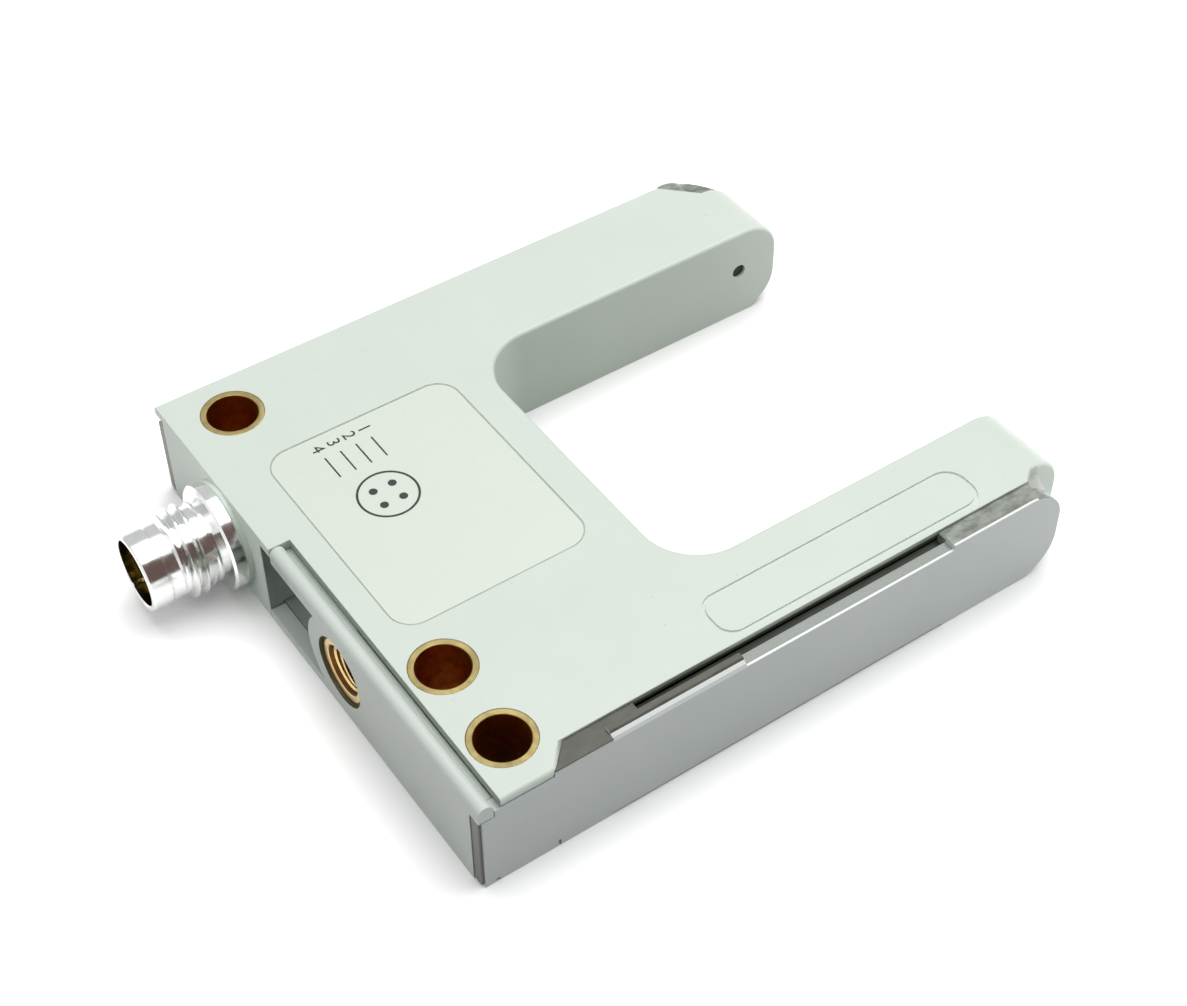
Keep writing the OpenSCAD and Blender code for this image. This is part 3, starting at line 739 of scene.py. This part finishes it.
def add_bar(bm, place, length, width):
    size = Matrix.Diagonal((length, width, PRINT_T, 1))
    bmesh.ops.create_cube(bm, size=1, matrix=Matrix.Translation(place) @ size)


def label():
    margin = 0.02 * MM
    line = 0.07 * MM
    bm = merged_copy("label_foil")
    upper = [v for v in bm.verts if v.co.z > FOIL_TOP]
    bmesh.ops.translate(bm, vec=(0, 0, FOIL_TOP - TOP), verts=upper)
    face = max(bm.faces, key=lambda f: f.normal.z * f.calc_area())
    bmesh.ops.inset_region(bm, faces=[face], thickness=margin)
    for ring_face in bmesh.ops.inset_region(bm, faces=[face], thickness=line)["faces"]:
        ring_face.material_index = 1
    add_piece("label", bm, [label_pale, label_edge_grey], ["label_foil"])


def label_print():
    """Pin numbers with leader lines, and a ring with four pins."""
    bm = bmesh.new()
    half = PRINT_T / 2
    first_row = Vector((-12.7 * MM, 8.0 * MM, FOIL_TOP + half))
    row_step = -1.45 * MM
    number_size = 1.6 * MM
    bar_start = 1.2 * MM
    bar_l = 2.6 * MM
    bar_w = 0.14 * MM
    for i in range(4):
        spot = first_row + Vector((0, i * row_step, 0))
        add_number(bm, i + 1, number_size, spot)
        add_bar(bm, spot + Vector((bar_start + bar_l / 2, 0, 0)), bar_l, bar_w)
    ring_offset = 7.6 * MM
    centre = first_row + Vector((ring_offset, 1.5 * row_step, 0))
    ring_r = 2.5 * MM
    line = 0.1 * MM
    inner = ring_r - line
    outer = ring_r + line
    outline = [(inner, -half), (outer, -half), (outer, half), (inner, half)]
    turned(bm, outline, centre, (0, 0, 1), steps=64)
    pin_offset = Vector((1.25 * MM, 0, 0))
    pin_r = 0.36 * MM
    for i in range(4):
        pin = centre + Matrix.Rotation(math.radians(45 + 90 * i), 3, "Z") @ pin_offset
        bmesh.ops.create_cone(bm, cap_ends=True, segments=24, radius1=pin_r, radius2=pin_r, depth=PRINT_T,
                              matrix=Matrix.Translation(pin))
    bmesh.ops.remove_doubles(bm, verts=bm.verts, dist=0.0005 * MM)
    bmesh.ops.recalc_face_normals(bm, faces=bm.faces)
    add_piece("label_print", bm, [ink_dark])


label()
label_print()


# Plug shell with its thread

def plug():
    bm = bmesh.new()
    seat = Vector((PLUG_AXIS.x, BACK_FACE, PLUG_AXIS.z))
    # Radius and distance out of the back face, in mm: tail, flange, undercut, core, sleeve and socket
    outline = [(2.4, -6), (3, -6), (3, 0.4), (4.5, 0.4), (4.65, 0.55), (4.65, 1.5), (4.45, 1.7),
               (3.15, 1.7), (3.15, 2.1), (3.5, 2.15), (3.5, 2.35), (3.35, 2.5), (3.35, 5),
               (3.32, 5.06), (3.32, 6.5), (3.24, 6.54), (3.24, 6.62), (3.4, 6.7), (3.4, 8.22),
               (3.3, 8.38), (3, 8.4), (2.9, 8.3), (2.9, 2.6), (2.4, 2.6)]
    turned(bm, [(r * MM, d * MM) for r, d in outline], seat, (0, -1, 0))
    add_thread(bm, seat, -1, start=2.85 * MM, length=2.6 * MM, pitch=0.85 * MM, root_r=3.33 * MM,
               crest_r=3.88 * MM, foot=0.38 * MM, crest=0.07 * MM)
    bmesh.ops.recalc_face_normals(bm, faces=bm.faces)
    # The socket's inside takes painted glints of the gold pins and painted shade
    socket_r = 2.92 * MM
    for face in bm.faces:
        spot = face.calc_center_median() - seat
        face.material_index = int(math.hypot(spot.x, spot.z) < socket_r and spot.y < 0)
    # The key rib at the socket's mouth
    rib_turn = Matrix.Rotation(math.radians(27), 4, "Y")
    rib_place = Matrix.Translation((0, -7.2 * MM, -2.8 * MM))
    rib_size = Matrix.Diagonal((0.3 * MM, 2.2 * MM, 0.3 * MM, 1))
    bmesh.ops.create_cube(bm, size=1, matrix=Matrix.Translation(seat) @ rib_turn @ rib_place @ rib_size)
    add_piece("plug_sleeve", bm, [nickel, socket_painted_glint_and_shade], ["plug_shell"], smooth_angle=30)


plug()


# Threaded insert

def insert():
    bm = bmesh.new()
    mouth = Vector((INSERT_AXIS.x, insert_low.y, INSERT_AXIS.z))
    length = (insert_high.y - insert_low.y) / MM
    outer = (insert_high.x - insert_low.x) / MM / 2
    rim = outer + 0.22
    # Radius and distance into the back face, in mm: rim, outside, bore, first crest and mouth
    outline = [(rim - 0.08, -0.12), (rim, -0.04), (rim, 0), (outer, 0), (outer, length),
               (2.02, length), (2.02, 0.62), (1.82, 0.5), (1.82, 0.42), (2.02, 0.3),
               (2.2, -0.05), (2.28, -0.12)]
    turned(bm, [(r * MM, d * MM) for r, d in outline], mouth, (0, 1, 0))
    add_thread(bm, mouth, 1, start=0.5 * MM, length=4.6 * MM, pitch=0.7 * MM, root_r=2.04 * MM,
               crest_r=1.68 * MM, foot=0.3 * MM, crest=0.06 * MM)
    bmesh.ops.recalc_face_normals(bm, faces=bm.faces)
    # Thread grooves and the deep bore take the painted shade; the rim and the first crest keep the
    # brighter brass
    bore_r = 2.15 * MM
    groove_r = 1.95 * MM
    groove_start = 0.12 * MM
    deep_start = 0.9 * MM
    for face in bm.faces:
        spot = face.calc_center_median() - mouth
        radius = math.hypot(spot.x, spot.z)
        groove = radius > groove_r and spot.y > groove_start
        face.material_index = int(radius < bore_r and (groove or spot.y > deep_start))
    add_piece("insert_ring", bm, [brass_bright, insert_brass_painted_shade], ["threaded_insert"],
              smooth_angle=30)


insert()


# Finishes of the pieces that keep their solids

for node, material in (
    ("plug_insulator", insulator_black), ("emitter_window", window_dark),
    ("receiver_window", window_dark), ("emitter", optic_clear), ("receiver", optic_dark),
    ("circuit_board", board_green), ("control_chip", chip_black), ("output_driver", chip_black),
):
    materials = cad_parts[node].data.materials
    materials.clear()
    materials.append(material)


# Floor, light and camera

# The floor: its size, the light it gives back to the object, and its colour and lift as seen
FLOOR_SIZE = 6
FLOOR_BOUNCE = (0.22, 0.23, 0.22)
FLOOR_SEEN = (0.93, 0.93, 0.93)
FLOOR_LIFT = 0.57
# Between these distances the floor turns to the white of the background
FADE_START = 0.2
FADE_END = 0.9
# Reach of the soft shade painted into the floor's glow where the object touches the floor
CONTACT = 0.007
AMBIENT = 0.2


def seen_rays(tree):
    """1 for what the camera sees, directly or in a mirror or through glass."""
    path = tree.nodes.new("ShaderNodeLightPath")
    seen = math_node(tree, "ADD", path.outputs["Is Camera Ray"], path.outputs["Is Glossy Ray"])
    return math_node(tree, "ADD", seen, path.outputs["Is Transmission Ray"])


def stage_sheet(name, matrix, width, height):
    """A plain sheet of the studio, which isn't part of the object."""
    bm = bmesh.new()
    size = Matrix.Diagonal((width, height, 1, 1))
    bmesh.ops.create_grid(bm, x_segments=1, y_segments=1, size=0.5, matrix=matrix @ size)
    mesh = bpy.data.meshes.new(name)
    bm.to_mesh(mesh)
    bm.free()
    sheet = bpy.data.objects.new(name, mesh)
    bpy.context.scene.collection.objects.link(sheet)
    return sheet


def facing(place, aim):
    """A place whose local -Z looks at an aim."""
    turn = (Vector(aim) - Vector(place)).to_track_quat("-Z", "Y")
    return Matrix.Translation(place) @ turn.to_matrix().to_4x4()


def studio_floor():
    floor = stage_sheet("floor", Matrix.Translation((0, 0, UNDERSIDE)), FLOOR_SIZE, FLOOR_SIZE)
    material, tree, shader, vector = new_material("floor_paper")
    shader.inputs["Roughness"].default_value = 0.9
    shader.inputs["Specular IOR Level"].default_value = 0.0
    seen = seen_rays(tree)
    tree.links.new(blend_colors(tree, seen, FLOOR_BOUNCE, FLOOR_SEEN), shader.inputs["Base Color"])
    open_sky = tree.nodes.new("ShaderNodeAmbientOcclusion")
    open_sky.inputs["Distance"].default_value = CONTACT
    open_sky.samples = 4
    openness = math_node(tree, "POWER", open_sky.outputs["AO"], 2)
    distance = tree.nodes.new("ShaderNodeVectorMath")
    distance.operation = "LENGTH"
    tree.links.new(vector, distance.inputs[0])
    level = remap(tree, distance.outputs["Value"], FADE_START, FADE_END, FLOOR_LIFT, 1.0)
    lift = math_node(tree, "MULTIPLY", math_node(tree, "MULTIPLY", seen, level), openness)
    shader.inputs["Emission Color"].default_value = (1, 1, 1, 1)
    tree.links.new(lift, shader.inputs["Emission Strength"])
    floor.data.materials.append(material)


def reflection_card(name, place, width, height, color):
    """A card that only shows in bright metal and glossy edges."""
    card = stage_sheet(name, facing(place, PLUG_AXIS), width, height)
    card.visible_camera = False
    card.visible_diffuse = False
    card.visible_transmission = False
    card.visible_shadow = False
    material, tree, shader, vector = new_material(name + "_card")
    shader.inputs["Base Color"].default_value = (0, 0, 0, 1)
    shader.inputs["Emission Color"].default_value = (*color, 1)
    shader.inputs["Emission Strength"].default_value = 1
    card.data.materials.append(material)


def studio_world():
    world = bpy.data.worlds.new("studio")
    bpy.context.scene.world = world
    world.use_nodes = True
    tree = world.node_tree
    background = tree.nodes["Background"]
    background.inputs["Color"].default_value = (1, 1, 1, 1)
    level = math_node(tree, "MULTIPLY", seen_rays(tree), 1 - AMBIENT)
    tree.links.new(math_node(tree, "ADD", level, AMBIENT), background.inputs["Strength"])


def soft_lamp(name, place, aim, width, height, power, mirrored=False):
    """A rectangular lamp, which shows in glossy surfaces only if it is mirrored."""
    lamp = bpy.data.lights.new(name, "AREA")
    lamp.shape = "RECTANGLE"
    lamp.size = width
    lamp.size_y = height
    lamp.energy = power
    lamp_object = bpy.data.objects.new(name, lamp)
    lamp_object.matrix_world = facing(place, aim)
    lamp_object.visible_glossy = mirrored
    bpy.context.scene.collection.objects.link(lamp_object)


def photo_camera():
    """The photograph's view: place and aim in the part's frame, with the lens and shift of its frame."""
    place = Vector((97.9, -45.6, 126.8)) * MM
    aim = Vector((1.8, 19.56, 4.75)) * MM
    roll = math.radians(0.56)
    camera = bpy.data.cameras.new("camera")
    camera.sensor_width = 36
    camera.lens = 62.28
    camera.shift_x = 0.0115
    camera.shift_y = 0.0097
    camera.clip_start = 0.005
    camera_object = bpy.data.objects.new("camera", camera)
    bpy.context.scene.collection.objects.link(camera_object)
    turn = (aim - place).to_track_quat("-Z", "Y").to_matrix() @ Matrix.Rotation(-roll, 3, "Z")
    camera_object.matrix_world = Matrix.Translation(place) @ turn.to_4x4()
    bpy.context.scene.camera = camera_object


studio_floor()
studio_world()
soft_lamp("overhead", place=(-0.04, 0.15, 0.5), aim=(0, 0.02, 0), width=0.5, height=0.5, power=2.42,
          mirrored=True)
soft_lamp("rear_fill", place=(0.0, -0.6, 0.25), aim=(0, 0, 0), width=0.4, height=0.4, power=0.9)
soft_lamp("side_fill", place=(0.25, 0.06, 0.006), aim=(0.02, 0.03, 0.005), width=0.1, height=0.008,
          power=0.062)
soft_lamp("tip_fill", place=(0.09, 0.13, 0.006), aim=(0.02, 0.05, 0.005), width=0.05, height=0.008,
          power=0.03)
soft_lamp("fork_fill", place=(0.0, 0.09, 0.007), aim=(-0.016, 0.05, 0.006), width=0.01, height=0.006,
          power=0.0026)
reflection_card("dark_side", place=(0.363, 0.124, 0.2445), width=0.6, height=0.474,
                color=(0.1, 0.05, 0.04))
reflection_card("grey_side", place=(-0.42, 0.0, 0.26), width=0.8, height=0.44,
                color=(0.62, 0.63, 0.63))
photo_camera()
bpy.context.scene.view_settings.view_transform = "Standard"
